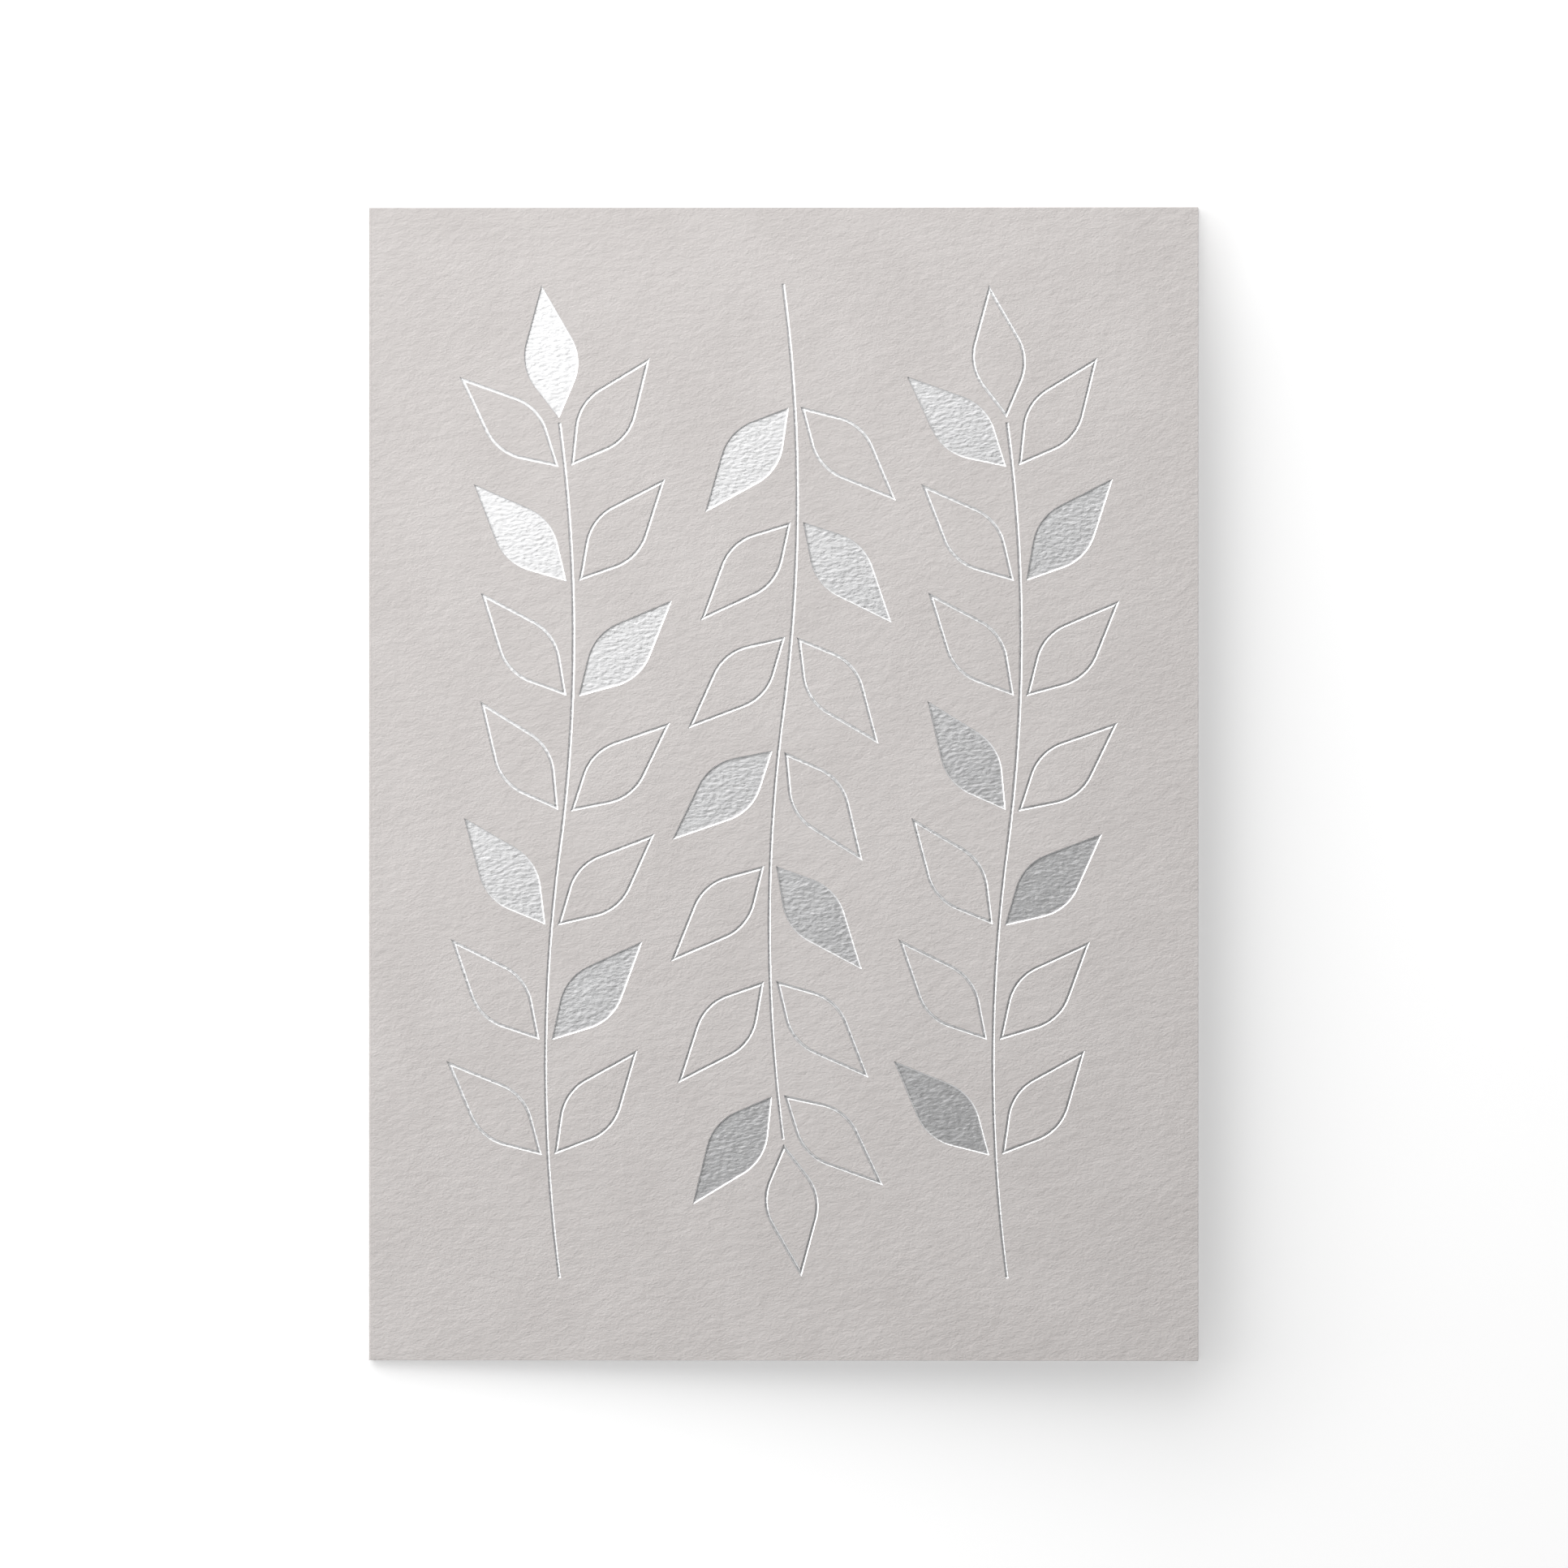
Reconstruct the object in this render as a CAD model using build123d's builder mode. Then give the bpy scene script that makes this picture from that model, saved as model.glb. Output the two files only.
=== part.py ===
from build123d import *
import os
from math import asin, atan2, cos, degrees, floor, hypot, radians, sin

# A folded greeting card, lying on its back panel with the fold along its left side.
# X runs from the fold to the opening edges, Y up the cover and Z out of the table.
# The origin is on the table, under the middle of the back panel. Millimetres and degrees.

# The sheet: each panel's size, the stock, the fold and how far the cover springs open
card_width = 114.3
card_height = 158.75
stock_thickness = 0.45
fold_inner_radius = 0.25
cover_opening = 3.0

# Where the pattern lies on the cover, how deep it is pressed and the foil in it
margin_left = 10.9
margin_right = 10.9
margin_top = 10.5
margin_bottom = 11.3
deboss_depth = 0.15
foil_thickness = 0.05

# The pattern: sprigs side by side, every other one upside down, with pairs of leaves
line_width = 0.45
stem_sway = 7.5
stalk_length = 12.0
leaf_length = 18.5
leaf_width = 7.4
leaf_widest_at = 8.2
leaf_belly_radius = 7.0
leaf_angle = 42.0
leaf_to_stem = 0.6
leaf_to_leaf = 3.2
sprig_to_sprig = 0.7
end_pair_back = 7.0
solid_every = 3

# Sizes that follow from those above
fold_outer_radius = fold_inner_radius + stock_thickness
panel_flat = card_width - fold_outer_radius
pattern_width = card_width - margin_left - margin_right
pattern_height = card_height - margin_bottom - margin_top
pattern_bottom = margin_bottom - card_height / 2
leaf_clear = line_width / 2 + leaf_to_stem
leaf_start = leaf_clear / sin(radians(leaf_angle))
sprig_reach = leaf_clear + leaf_length * sin(radians(leaf_angle + stem_sway))
sprig_count = floor(pattern_width / (2 * sprig_reach + sprig_to_sprig))
sprig_pitch = pattern_width / sprig_count
stem_radius = (pattern_height - leaf_length - leaf_to_stem) / (4 * sin(radians(stem_sway)))
stem_length = 4 * stem_radius * radians(stem_sway)
pair_pitch = (leaf_width + leaf_to_leaf) / sin(radians(leaf_angle))
pair_count = 1 + floor((stem_length - end_pair_back - stalk_length) / pair_pitch)

# The cover's face, with its origin where the flat panel leaves the fold
cover_x = Vector(cos(radians(cover_opening)), 0, sin(radians(cover_opening)))
cover_out = Vector(-cover_x.Z, 0, cover_x.X)
fold_centre = Vector(fold_outer_radius - card_width / 2, 0, fold_outer_radius)
cover_plane = Plane(fold_centre + cover_out * fold_outer_radius, x_dir=cover_x, z_dir=cover_out)
pattern_left = margin_left - fold_outer_radius


def heading(angle):
    """Unit vector on the cover at an angle from its X."""
    return Vector(cos(radians(angle)), sin(radians(angle)))


def leaf_place(point, angle, clear):
    """Where a leaf starts when its base stands clear of a point of the stem."""
    start = point + heading(angle) * clear
    return Location((start.X, start.Y, 0), (0, 0, angle))


def edge_slope(run):
    """Angle at a leaf's point of the straight edge that meets the belly arc, run away from its centre."""
    drop = leaf_belly_radius - leaf_width / 2
    return degrees(asin(leaf_belly_radius / hypot(run, drop)) - atan2(drop, run))


# The stems, two arcs each, and the places of the leaves along them
stems = []
solid_places = []
outline_places = []
for sprig in range(sprig_count):
    upright = sprig % 2 == 0
    foot = pattern_bottom if upright else pattern_bottom + pattern_height
    up = 90 if upright else -90
    with BuildLine() as stem:
        lower = JernArc(
            start=(pattern_left + (sprig + 0.5) * sprig_pitch, foot),
            tangent=heading(up + stem_sway),
            radius=stem_radius,
            arc_size=-2 * stem_sway,
        )
        JernArc(start=lower @ 1, tangent=lower % 1, radius=stem_radius, arc_size=2 * stem_sway)
    path = stem.wire()
    stems.append(path)
    leaf_places = [leaf_place(path @ 1, up + stem_sway, leaf_to_stem)]
    for pair in range(pair_count):
        along = (stem_length - end_pair_back - pair * pair_pitch) / stem_length
        point = path @ along
        direction = path % along
        for side in (1, -1):
            angle = Vector(1, 0).get_signed_angle(direction, Vector(0, 0, 1)) + side * leaf_angle
            leaf_places.append(leaf_place(point, angle, leaf_start))
    for number, place in enumerate(leaf_places, start=sprig):
        (outline_places if number % solid_every else solid_places).append(place)

# One leaf from its base at the origin, filled and as an outline. Each side is a belly arc
# between two straight runs that meet the leaf's points
with BuildSketch() as solid_leaf:
    with BuildLine():
        base_slope = edge_slope(leaf_widest_at)
        tip_slope = edge_slope(leaf_length - leaf_widest_at)
        belly = CenterArc(
            center=(leaf_widest_at, leaf_width / 2 - leaf_belly_radius),
            radius=leaf_belly_radius,
            start_angle=90 - tip_slope,
            arc_size=tip_slope + base_slope,
        )
        Line((leaf_length, 0), belly @ 0)
        Line(belly @ 1, (0, 0))
        mirror(about=Plane.XZ)
    make_face()

with BuildSketch() as outline_leaf:
    add(solid_leaf.sketch)
    offset(amount=-line_width, mode=Mode.SUBTRACT)

# What the stamping die presses into the cover
with BuildPart() as pressed:
    with BuildSketch(cover_plane) as pattern:
        with Locations(*solid_places):
            add(solid_leaf.sketch)
        with Locations(*outline_places):
            add(outline_leaf.sketch)
        trace(stems, line_width)
    extrude(amount=-deboss_depth)

# The sheet, as its outside face from the back panel's cut edge round the fold to the
# cover's cut edge, thickened inwards
with BuildPart() as card:
    with BuildSketch(Plane.XZ) as section:
        with BuildLine():
            back = Line((card_width / 2, 0), (fold_centre.X, 0))
            fold = JernArc(back @ 1, back % 1, fold_outer_radius, cover_opening - 180)
            PolarLine(fold @ 1, panel_flat, direction=fold % 1)
            offset(amount=stock_thickness, side=Side.RIGHT)
        make_face()
    extrude(amount=card_height / 2, both=True)
    add(pressed.part, mode=Mode.SUBTRACT)

# The foil, bonded to the floor of every pressed shape
with BuildPart() as silver_foil:
    add(pressed.part)
    split(bisect_by=cover_plane.offset(foil_thickness - deboss_depth), keep=Keep.BOTTOM)

os.makedirs("parts", exist_ok=True)

card.part.label = "card"
export_step(card.part, "parts/card.step")

silver_foil.part.label = "silver_foil"
export_step(silver_foil.part, "parts/silver_foil.step")
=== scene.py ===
from math import asin, atan2, ceil, cos, floor, hypot, pi, radians, sin, sqrt, tan

import bmesh
import bpy
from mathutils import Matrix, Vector, noise


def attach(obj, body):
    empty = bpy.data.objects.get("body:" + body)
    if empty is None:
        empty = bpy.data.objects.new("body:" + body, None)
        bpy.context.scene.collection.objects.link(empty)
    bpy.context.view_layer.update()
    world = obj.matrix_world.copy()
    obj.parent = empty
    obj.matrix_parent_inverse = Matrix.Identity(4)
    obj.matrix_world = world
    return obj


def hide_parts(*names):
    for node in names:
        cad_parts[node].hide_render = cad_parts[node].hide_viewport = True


# A folded greeting card of felt-marked paper, lying on its back panel, with a pattern of
# sprigs pressed into its cover and lined with silver foil. The scene is in metres and the
# card's own sizes, which repeat the source's, are in millimetres and degrees.

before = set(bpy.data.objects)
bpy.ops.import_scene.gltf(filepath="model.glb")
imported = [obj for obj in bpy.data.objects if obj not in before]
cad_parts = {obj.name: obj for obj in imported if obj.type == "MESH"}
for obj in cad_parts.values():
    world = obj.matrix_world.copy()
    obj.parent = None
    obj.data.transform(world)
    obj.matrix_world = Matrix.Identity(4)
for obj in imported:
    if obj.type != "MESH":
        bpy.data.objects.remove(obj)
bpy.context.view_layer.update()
MM = 0.001

# The card and the pattern, with the source's names
card_width = 114.3
card_height = 158.75
fold_outer_radius = 0.7
cover_opening = 3.0
margin_left = 10.9
margin_right = 10.9
margin_top = 10.5
margin_bottom = 11.3
line_width = 0.45
stem_sway = 7.5
stalk_length = 12.0
leaf_length = 18.5
leaf_width = 7.4
leaf_widest_at = 8.2
leaf_belly_radius = 7.0
leaf_angle = 42.0
leaf_to_stem = 0.6
leaf_to_leaf = 3.2
sprig_to_sprig = 0.7
end_pair_back = 7.0
solid_every = 3

pattern_width = card_width - margin_left - margin_right
pattern_height = card_height - margin_bottom - margin_top
pattern_bottom = margin_bottom - card_height / 2
pattern_left = margin_left - fold_outer_radius
leaf_clear = line_width / 2 + leaf_to_stem
leaf_start = leaf_clear / sin(radians(leaf_angle))
sprig_reach = leaf_clear + leaf_length * sin(radians(leaf_angle + stem_sway))
sprig_count = floor(pattern_width / (2 * sprig_reach + sprig_to_sprig))
sprig_pitch = pattern_width / sprig_count
stem_radius = (pattern_height - leaf_length - leaf_to_stem) / (4 * sin(radians(stem_sway)))
stem_length = 4 * stem_radius * radians(stem_sway)
pair_pitch = (leaf_width + leaf_to_leaf) / sin(radians(leaf_angle))
pair_count = 1 + floor((stem_length - end_pair_back - stalk_length) / pair_pitch)

# The foil: how far under the paper's face its rim, its floor and its underside lie, how wide
# its rounded wall is, and how far it stays off the pressed edge
foil_rim = -0.012
foil_floor = -0.122
foil_underside = -0.147
wall_width = 0.17
side_gap = 0.006

# Where the foil's mesh has points: how many steps along a leaf's side, how far in from the
# edge of a filled leaf, of a thin line and of a stem's end, how far apart farther in, and
# what stays without rings in the middle of a leaf
leaf_steps = 100
leaf_wall_insets = [side_gap, 0.03, 0.06, 0.095, 0.13, wall_width]
line_wall_insets = [side_gap, 0.035, 0.075, 0.12, wall_width]
stem_end_insets = [side_gap, 0.05, 0.10, 0.15, 0.20]
ring_step = 0.18
stem_step = 0.24
leaf_core = 0.1

line_insets = line_wall_insets + [line_width / 2]
line_insets += [line_width - inset for inset in reversed(line_wall_insets)]
line_underside_insets = [line_width - side_gap, side_gap]

# The paper's felt marks as ripples of the foil's floor: their height and slant, the size of
# the coarse ones, and how strong both sorts are and how many times finer the fine ones are.
# Each sort is a slice of its own through the noise
ripple_height = 0.002
ripple_turn = 9.0
ripple_across = 0.6
ripple_along = 1.0
coarse_share = 1.4
coarse_slice = 4.7
fine_share = 0.5
fine_slice = 9.3
fine_times = 2.1


def on_cover(u, v, height):
    """Point in metres from millimetres along the cover, up it and out of its face."""
    tilt = radians(cover_opening)
    rise = fold_outer_radius + height
    x = fold_outer_radius - card_width / 2 + u * cos(tilt) - rise * sin(tilt)
    z = fold_outer_radius + u * sin(tilt) + rise * cos(tilt)
    return Vector((x, v, z)) * MM


def ripple(u, v):
    """Height of the felt marks at a point of the cover, between about -1 and 1."""
    turn = radians(ripple_turn)
    along = (u * cos(turn) + v * sin(turn)) / ripple_along
    across = (v * cos(turn) - u * sin(turn)) / ripple_across
    coarse = noise.noise(Vector((along, across, coarse_slice)))
    fine = noise.noise(Vector((along * fine_times, across * fine_times, fine_slice)))
    return coarse_share * coarse + fine_share * fine


def foil_height(u, v, depth_in):
    """Height of the foil's face at a point of the cover that is depth_in from the pressed edge."""
    part = min(1.0, depth_in / wall_width)
    wall = foil_rim + (foil_floor - foil_rim) * sin(part * pi / 2)
    return wall + ripple_height * part * part * ripple(u, v)


# The stems, each as its foot and the way it points, and the places of the leaves along them


def stem_at(foot, up, along):
    """Place and heading, in radians, on a stem of two arcs at a distance from its foot."""
    half = stem_length / 2
    first = radians(up + stem_sway)
    turned = first - min(along, half) / stem_radius
    u = foot[0] + stem_radius * (sin(first) - sin(turned))
    v = foot[1] + stem_radius * (cos(turned) - cos(first))
    if along <= half:
        return u, v, turned
    last = turned + (along - half) / stem_radius
    u += stem_radius * (sin(last) - sin(turned))
    v += stem_radius * (cos(turned) - cos(last))
    return u, v, last


stems = []
solid_places = []
outline_places = []
for sprig in range(sprig_count):
    upright = sprig % 2 == 0
    up = 90 if upright else -90
    foot = (
        pattern_left + (sprig + 0.5) * sprig_pitch,
        pattern_bottom if upright else pattern_bottom + pattern_height,
    )
    stems.append((foot, up))
    u, v, turn = stem_at(foot, up, stem_length)
    places = [(u + leaf_to_stem * cos(turn), v + leaf_to_stem * sin(turn), turn)]
    for pair in range(pair_count):
        u, v, turn = stem_at(foot, up, stem_length - end_pair_back - pair * pair_pitch)
        for side in (1, -1):
            angle = turn + side * radians(leaf_angle)
            places.append((u + leaf_start * cos(angle), v + leaf_start * sin(angle), angle))
    for number, place in enumerate(places, start=sprig):
        (outline_places if number % solid_every else solid_places).append(place)


# A leaf's outline at any distance in from its edge: each side is a belly arc between two
# straight runs, and moving inwards keeps that form until the runs are used up


def edge_slope(run):
    """Slope of the straight edge at a leaf's point, run away from the belly arc's centre."""
    drop = leaf_belly_radius - leaf_width / 2
    return asin(leaf_belly_radius / hypot(run, drop)) - atan2(drop, run)


base_slope = edge_slope(leaf_widest_at)
tip_slope = edge_slope(leaf_length - leaf_widest_at)


def leaf_outline(inset):
    """Points of a leaf's outline moved inwards by inset, round from its base by its left side."""
    radius = leaf_belly_radius - inset
    drop = leaf_belly_radius - leaf_width / 2
    base = inset / sin(base_slope)
    tip = leaf_length - inset / sin(tip_slope)
    if radius * cos(base_slope) < drop:
        base = leaf_widest_at - sqrt(max(0.0, radius * radius - drop * drop))
    if radius * cos(tip_slope) < drop:
        tip = leaf_widest_at + sqrt(max(0.0, radius * radius - drop * drop))
    left = []
    for step in range(leaf_steps + 1):
        x = base + (tip - base) * step / leaf_steps
        if x < leaf_widest_at - radius * sin(base_slope):
            y = (x - base) * tan(base_slope)
        elif x > leaf_widest_at + radius * sin(tip_slope):
            y = (tip - x) * tan(tip_slope)
        else:
            y = sqrt(max(0.0, radius * radius - (x - leaf_widest_at) ** 2)) - drop
        left.append((x, max(0.0, y)))
    return left + [(x, -y) for x, y in left[-2:0:-1]]


# The foil's mesh


def bridge(bm, below, above):
    """Faces between two closed rings of as many vertices."""
    count = len(below)
    for i in range(count):
        j = (i + 1) % count
        bm.faces.new((below[i], below[j], above[j], above[i]))


def placed(place, x, y):
    """Point of the cover from a point of a leaf."""
    u, v, turn = place
    return u + x * cos(turn) - y * sin(turn), v + x * sin(turn) + y * cos(turn)


def leaf_ring(bm, place, inset, depth_in=None):
    """Vertices round a leaf, on the foil's face at a depth_in or, without one, on its underside."""
    ring = []
    for x, y in leaf_outline(inset):
        u, v = placed(place, x, y)
        height = foil_underside if depth_in is None else foil_height(u, v, depth_in)
        ring.append(bm.verts.new(on_cover(u, v, height)))
    return ring


def add_solid_leaf(bm, place):
    """A filled leaf of foil, closed underneath."""
    insets = list(leaf_wall_insets)
    while insets[-1] + ring_step < leaf_width / 2 - leaf_core:
        insets.append(insets[-1] + ring_step)
    rings = [leaf_ring(bm, place, inset, depth_in=inset) for inset in insets]
    skirt = leaf_ring(bm, place, side_gap)
    for outer, inner in zip([skirt] + rings, rings):
        bridge(bm, outer, inner)
    bm.faces.new(rings[-1])
    bm.faces.new(list(reversed(skirt)))


def add_outline_leaf(bm, place):
    """A thin band of foil round a leaf, closed underneath."""
    rings = [leaf_ring(bm, place, inset, min(inset, line_width - inset)) for inset in line_insets]
    rings += [leaf_ring(bm, place, inset) for inset in line_underside_insets]
    for outer, inner in zip(rings, rings[1:] + rings[:1]):
        bridge(bm, outer, inner)


def beside(station, inset):
    """Point of the cover at a station of a stem, inset in from the line's right side."""
    u, v, turn = station
    off = inset - line_width / 2
    return u - off * sin(turn), v + off * cos(turn)


def stem_column(bm, foot, up, along):
    """Vertices across a stem at a distance from its foot, over the foil and back under it."""
    station = stem_at(foot, up, along)
    to_end = min(along, stem_length - along)
    column = []
    for inset in line_insets:
        u, v = beside(station, inset)
        height = foil_height(u, v, min(inset, line_width - inset, to_end))
        column.append(bm.verts.new(on_cover(u, v, height)))
    for inset in line_underside_insets:
        u, v = beside(station, inset)
        column.append(bm.verts.new(on_cover(u, v, foil_underside)))
    return column


def add_stem(bm, foot, up):
    """A thin line of foil along a stem, closed underneath and at both ends."""
    run = stem_length - 2 * stem_end_insets[-1]
    count = ceil(run / stem_step)
    stations = stem_end_insets + [stem_end_insets[-1] + run * i / count for i in range(1, count)]
    stations += [stem_length - inset for inset in reversed(stem_end_insets)]
    columns = [stem_column(bm, foot, up, along) for along in stations]
    for before, after in zip(columns, columns[1:]):
        bridge(bm, before, after)
    bm.faces.new(list(reversed(columns[0])))
    bm.faces.new(columns[-1])


def new_piece(name, bm, material):
    """Object from a bmesh, smooth, with its faces turned outwards."""
    bmesh.ops.recalc_face_normals(bm, faces=bm.faces)
    for face in bm.faces:
        face.smooth = True
    mesh = bpy.data.meshes.new(name)
    bm.to_mesh(mesh)
    bm.free()
    mesh.materials.append(material)
    piece = bpy.data.objects.new(name, mesh)
    bpy.context.scene.collection.objects.link(piece)
    return piece


# Shader nodes, as the materials and the room need them


def feed(tree, socket, value):
    """Gives a socket a number or the result of another node."""
    if isinstance(value, (int, float)):
        socket.default_value = value
    else:
        tree.links.new(value, socket)


def worked_out(tree, operation, *values):
    """Result of a sum on two or three values, each a number or the result of another node."""
    step = tree.nodes.new("ShaderNodeMath")
    step.operation = operation
    for socket, value in zip(step.inputs, values):
        feed(tree, socket, value)
    return step.outputs["Value"]


def scaled(tree, vector, factor):
    """Vector or colour times a factor."""
    product = tree.nodes.new("ShaderNodeVectorMath")
    product.operation = "SCALE"
    tree.links.new(vector, product.inputs[0])
    feed(tree, product.inputs["Scale"], factor)
    return product.outputs["Vector"]


def between(tree, value, start, end, low, high, easing="LINEAR"):
    """Value that goes from low to high while another goes from start to end."""
    span = tree.nodes.new("ShaderNodeMapRange")
    span.interpolation_type = easing
    span.inputs["From Min"].default_value = start
    span.inputs["From Max"].default_value = end
    span.inputs["To Min"].default_value = low
    span.inputs["To Max"].default_value = high
    tree.links.new(value, span.inputs["Value"])
    return span.outputs["Result"]


def noise_at(tree, position, scale, detail, roughness=0.5):
    """Factor of a noise texture at a position."""
    texture = tree.nodes.new("ShaderNodeTexNoise")
    texture.inputs["Scale"].default_value = scale
    texture.inputs["Detail"].default_value = detail
    texture.inputs["Roughness"].default_value = roughness
    tree.links.new(position, texture.inputs["Vector"])
    return texture.outputs["Fac"]


def ramp(tree, factor, low, high, start=0.35, end=0.65):
    """Colour that goes from low to high over start to end, which hold most of a noise's range."""
    colours = tree.nodes.new("ShaderNodeValToRGB")
    first, last = colours.color_ramp.elements
    first.position = start
    first.color = (*low, 1)
    last.position = end
    last.color = (*high, 1)
    tree.links.new(factor, colours.inputs["Fac"])
    return colours.outputs["Color"]


def bumped(tree, height, distance, normal=None):
    """Normal of a surface with a height of up to distance millimetres on it."""
    bump = tree.nodes.new("ShaderNodeBump")
    bump.inputs["Strength"].default_value = 1.0
    bump.inputs["Distance"].default_value = distance * MM
    tree.links.new(height, bump.inputs["Height"])
    if normal is not None:
        tree.links.new(normal, bump.inputs["Normal"])
    return bump.outputs["Normal"]


def in_millimetres(tree):
    """Object coordinates in millimetres."""
    where = tree.nodes.new("ShaderNodeTexCoord")
    return scaled(tree, where.outputs["Object"], 1 / MM)


def felt_marks(tree, position, turn, narrow, scale, fine, slow):
    """Height of the felt marks: slanting ones, narrow times as wide as long, over slow waves."""
    slant = tree.nodes.new("ShaderNodeMapping")
    slant.vector_type = "TEXTURE"
    slant.inputs["Rotation"].default_value = (0, 0, radians(turn))
    slant.inputs["Scale"].default_value = (1.0, narrow, 1.0)
    tree.links.new(position, slant.inputs["Vector"])
    marks = noise_at(tree, slant.outputs["Vector"], scale, detail=2.0, roughness=fine)
    waves = noise_at(tree, slant.outputs["Vector"], scale=0.55, detail=1.0)
    return worked_out(tree, "MULTIPLY_ADD", waves, slow, marks)


# Materials


def new_material(name):
    """Node material with its output and a Principled shader."""
    material = bpy.data.materials.new(name)
    material.use_nodes = True
    tree = material.node_tree
    tree.nodes.clear()
    output = tree.nodes.new("ShaderNodeOutputMaterial")
    shader = tree.nodes.new("ShaderNodeBsdfPrincipled")
    tree.links.new(shader.outputs[0], output.inputs["Surface"])
    return material, tree, shader


def paper_material():
    """Warm grey paper, clouded, with painted shade along the fold's outside, with felt marks and
    tooth.
    """
    # The clouds' two colours, and the share of them that the painted shade on the fold keeps
    dark = (0.580, 0.549, 0.536)
    light = (0.612, 0.581, 0.568)
    fold_shade_share = 0.68
    # Between which distances from the fold's outside the painted shade fades, how far edges are
    # softened, and how high the felt marks and the tooth stand
    fold_shade_start = 0.25
    fold_shade_end = 0.75
    edge_radius = 0.09
    felt_height = 0.056
    tooth_height = 0.017

    paper, tree, shader = new_material("paper")
    position = in_millimetres(tree)
    clouds = noise_at(tree, position, scale=0.09, detail=4.0, roughness=0.6)
    axes = tree.nodes.new("ShaderNodeSeparateXYZ")
    tree.links.new(position, axes.inputs[0])
    fold_x = -card_width / 2
    # Painted shade: the paper's colour darkens towards the fold's outside, standing in for shade on
    # the fold's curved side
    fold_shade = between(
        tree,
        axes.outputs["X"],
        start=fold_x + fold_shade_start,
        end=fold_x + fold_shade_end,
        low=fold_shade_share,
        high=1.0,
        easing="SMOOTHSTEP",
    )
    colour = scaled(tree, ramp(tree, clouds, dark, light), fold_shade)
    tree.links.new(colour, shader.inputs["Base Color"])
    shader.inputs["Roughness"].default_value = 0.85
    shader.inputs["Specular IOR Level"].default_value = 0.2
    edge = tree.nodes.new("ShaderNodeBevel")
    edge.samples = 6
    edge.inputs["Radius"].default_value = edge_radius * MM
    marks = felt_marks(tree, position, turn=9.0, narrow=0.6, scale=2.3, fine=0.55, slow=1.4)
    felt = bumped(tree, marks, felt_height, edge.outputs["Normal"])
    tooth = noise_at(tree, position, scale=3.5, detail=2.0, roughness=0.6)
    tree.links.new(bumped(tree, tooth, tooth_height, felt), shader.inputs["Normal"])
    return paper


def foil_material():
    """Silver foil, dulled unevenly, which takes up the paper's felt marks."""
    # Its colour, how rough its shiniest and dullest spots are, and how high the marks stand
    silver = (0.89, 0.89, 0.895, 1)
    shiniest = 0.34
    dullest = 0.44
    felt_height = 0.053

    foil, tree, shader = new_material("silver")
    position = in_millimetres(tree)
    shader.inputs["Base Color"].default_value = silver
    shader.inputs["Metallic"].default_value = 1.0
    spots = noise_at(tree, position, scale=0.8, detail=3.0)
    dulled = between(tree, spots, start=0.0, end=1.0, low=shiniest, high=dullest)
    tree.links.new(dulled, shader.inputs["Roughness"])
    marks = felt_marks(tree, position, turn=5.0, narrow=0.52, scale=1.25, fine=0.4, slow=0.5)
    tree.links.new(bumped(tree, marks, felt_height), shader.inputs["Normal"])
    return foil


def floor_material():
    """Floor that keeps the card's shadow, and is lifted to white where it is seen or mirrored."""
    pale_grey = (0.8, 0.8, 0.8, 1)
    lift = 0.38

    white, tree, shader = new_material("white_floor")
    shader.inputs["Base Color"].default_value = pale_grey
    shader.inputs["Roughness"].default_value = 1.0
    shader.inputs["Specular IOR Level"].default_value = 0.0
    shader.inputs["Emission Color"].default_value = (1, 1, 1, 1)
    rays = tree.nodes.new("ShaderNodeLightPath").outputs
    seen = worked_out(tree, "MAXIMUM", rays["Is Camera Ray"], rays["Is Glossy Ray"])
    seen = worked_out(tree, "MAXIMUM", seen, rays["Is Transmission Ray"])
    tree.links.new(worked_out(tree, "MULTIPLY", seen, lift), shader.inputs["Emission Strength"])
    return white


# The card keeps its own solid, with the paper on it
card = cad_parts["card"]
paper = paper_material()
for slot in card.material_slots:
    slot.material = paper

# The foil is two pieces, which lie in the pressed shapes
foil = foil_material()
leaves = bmesh.new()
for place in solid_places:
    add_solid_leaf(leaves, place)
foil_leaves = new_piece("foil_leaves", leaves, foil)

lines = bmesh.new()
for place in outline_places:
    add_outline_leaf(lines, place)
for foot, up in stems:
    add_stem(lines, foot, up)
foil_lines = new_piece("foil_lines", lines, foil)

for piece in (foil_leaves, foil_lines):
    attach(piece, "root")
    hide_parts("silver_foil")

# Floor, a hair below the card
floor_reach = 3
floor_drop = 0.00002
corners = [(-1, -1), (1, -1), (1, 1), (-1, 1)]
mesh = bpy.data.meshes.new("floor")
mesh.from_pydata([(x * floor_reach, y * floor_reach, 0) for x, y in corners], [], [(0, 1, 2, 3)])
mesh.materials.append(floor_material())
floor_plane = bpy.data.objects.new("floor", mesh)
floor_plane.location.z = -floor_drop
bpy.context.scene.collection.objects.link(floor_plane)

# Light: a strip and a wider one close above the card's upper left, a wide low lamp behind it
# on that side, and an even room, dark overhead and halfway down at the lower right


def direction(turn, rise):
    """Unit vector at an angle from X and a height above the horizon."""
    across = cos(radians(rise))
    return Vector((across * cos(radians(turn)), across * sin(radians(turn)), sin(radians(rise))))


def softbox(name, turn, rise, distance, size, level):
    """Area lamp aimed at the card from a direction, whose face has this radiance."""
    data = bpy.data.lights.new(name, "AREA")
    data.shape = "RECTANGLE"
    data.size, data.size_y = size
    data.energy = level * pi * size[0] * size[1]
    lamp = bpy.data.objects.new(name, data)
    lamp.location = direction(turn, rise) * distance
    lamp.rotation_mode = "QUATERNION"
    lamp.rotation_quaternion = (-lamp.location).to_track_quat("-Z", "Y")
    bpy.context.scene.collection.objects.link(lamp)


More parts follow.
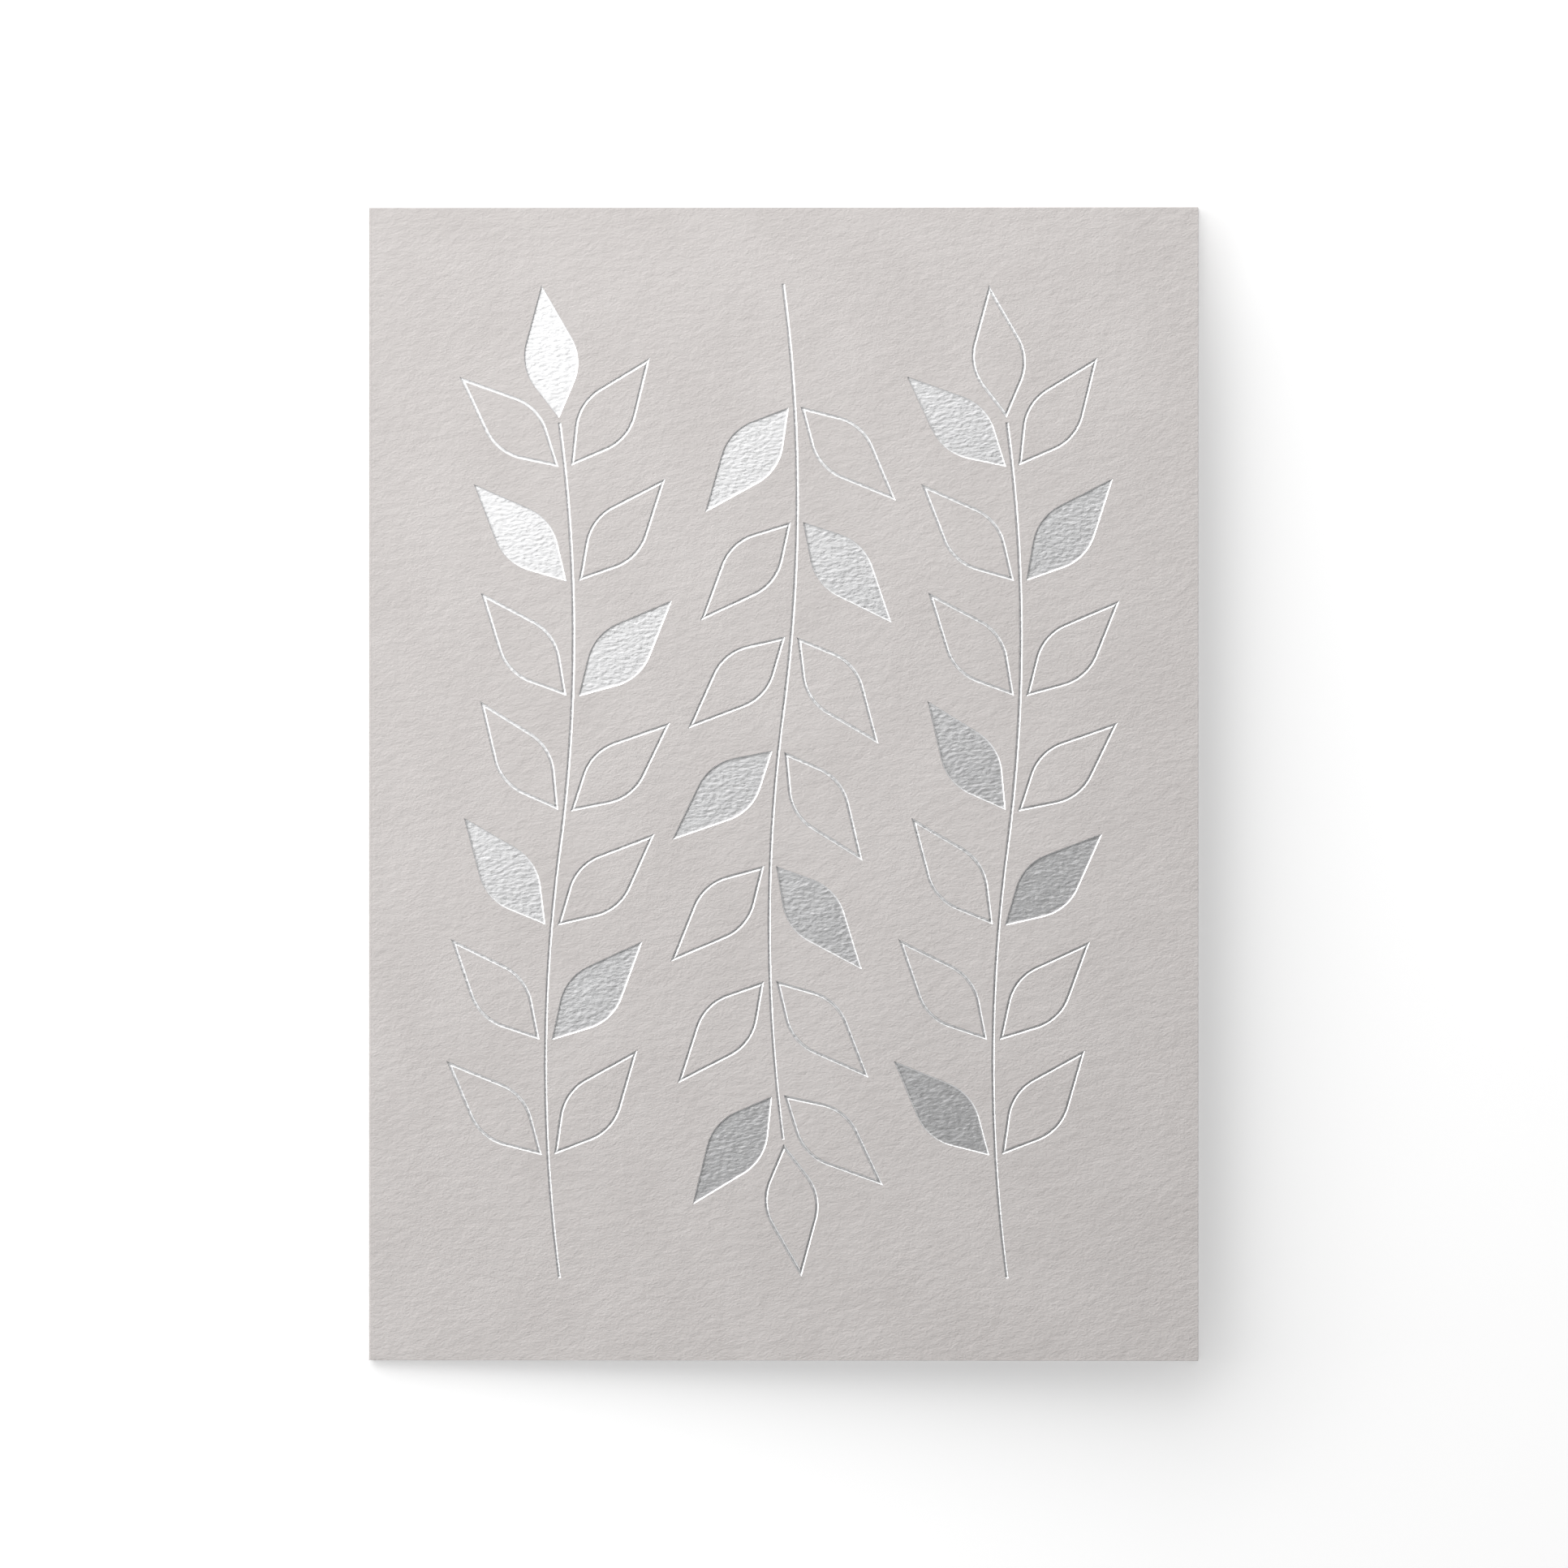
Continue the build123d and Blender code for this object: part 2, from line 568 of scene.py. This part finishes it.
softbox("key", turn=135, rise=56, distance=0.20, size=(0.6, 0.10), level=0.44)
softbox("key_spread", turn=135, rise=60, distance=0.26, size=(0.6, 0.22), level=0.89)
softbox("low", turn=135, rise=11.6, distance=1.7, size=(4.08, 0.75), level=5.9)

# The room's level, and the share of it that each dark zone takes away
room_level = 0.68
overhead_loss = 0.85
aside_loss = 0.92
room = bpy.data.worlds.new("room")
bpy.context.scene.world = room
room.use_nodes = True
room_tree = room.node_tree
background = room_tree.nodes["Background"]
background.inputs["Color"].default_value = (1, 1, 1, 1)
where = room_tree.nodes.new("ShaderNodeTexCoord")


def nearness(axis, start, end):
    """Factor that grows from 0 to 1 with the cosine of the angle to a direction."""
    near = room_tree.nodes.new("ShaderNodeVectorMath")
    near.operation = "DOT_PRODUCT"
    near.inputs[1].default_value = axis
    room_tree.links.new(where.outputs["Generated"], near.inputs[0])
    cosine = near.outputs["Value"]
    return between(room_tree, cosine, start, end, low=0.0, high=1.0, easing="SMOOTHSTEP")


def darkened(level, zone, loss):
    """Level that loses a share of itself inside a zone."""
    left = worked_out(room_tree, "MULTIPLY_ADD", zone, -loss, 1.0)
    return worked_out(room_tree, "MULTIPLY", level, left)


overhead = nearness(direction(turn=0, rise=90), start=0.707, end=0.985)
lower_right = nearness(direction(turn=-45, rise=20), start=0.45, end=0.75)
off_horizon = nearness(direction(turn=0, rise=90), start=0.26, end=0.5)
aside = worked_out(room_tree, "MULTIPLY", lower_right, off_horizon)
level = darkened(darkened(room_level, overhead, overhead_loss), aside, aside_loss)
room_tree.links.new(level, background.inputs["Strength"])

# Camera, above with a long lens, and as far to the left as hides the back panel's free edge.
# It takes in view_width at view_height, which is about the middle of the cover
view_width = 0.2159
view_height = 0.004
camera_left = 0.05
camera = bpy.data.objects.new("camera", bpy.data.cameras.new("camera"))
camera.data.sensor_width = 36
camera.data.lens = 600
camera_distance = view_width * camera.data.lens / camera.data.sensor_width
camera.location = (-camera_left, 0, view_height + camera_distance)
camera.rotation_euler = (0, -atan2(camera_left, camera_distance), 0)
bpy.context.scene.collection.objects.link(camera)
bpy.context.scene.camera = camera
bpy.context.scene.view_settings.view_transform = "Standard"
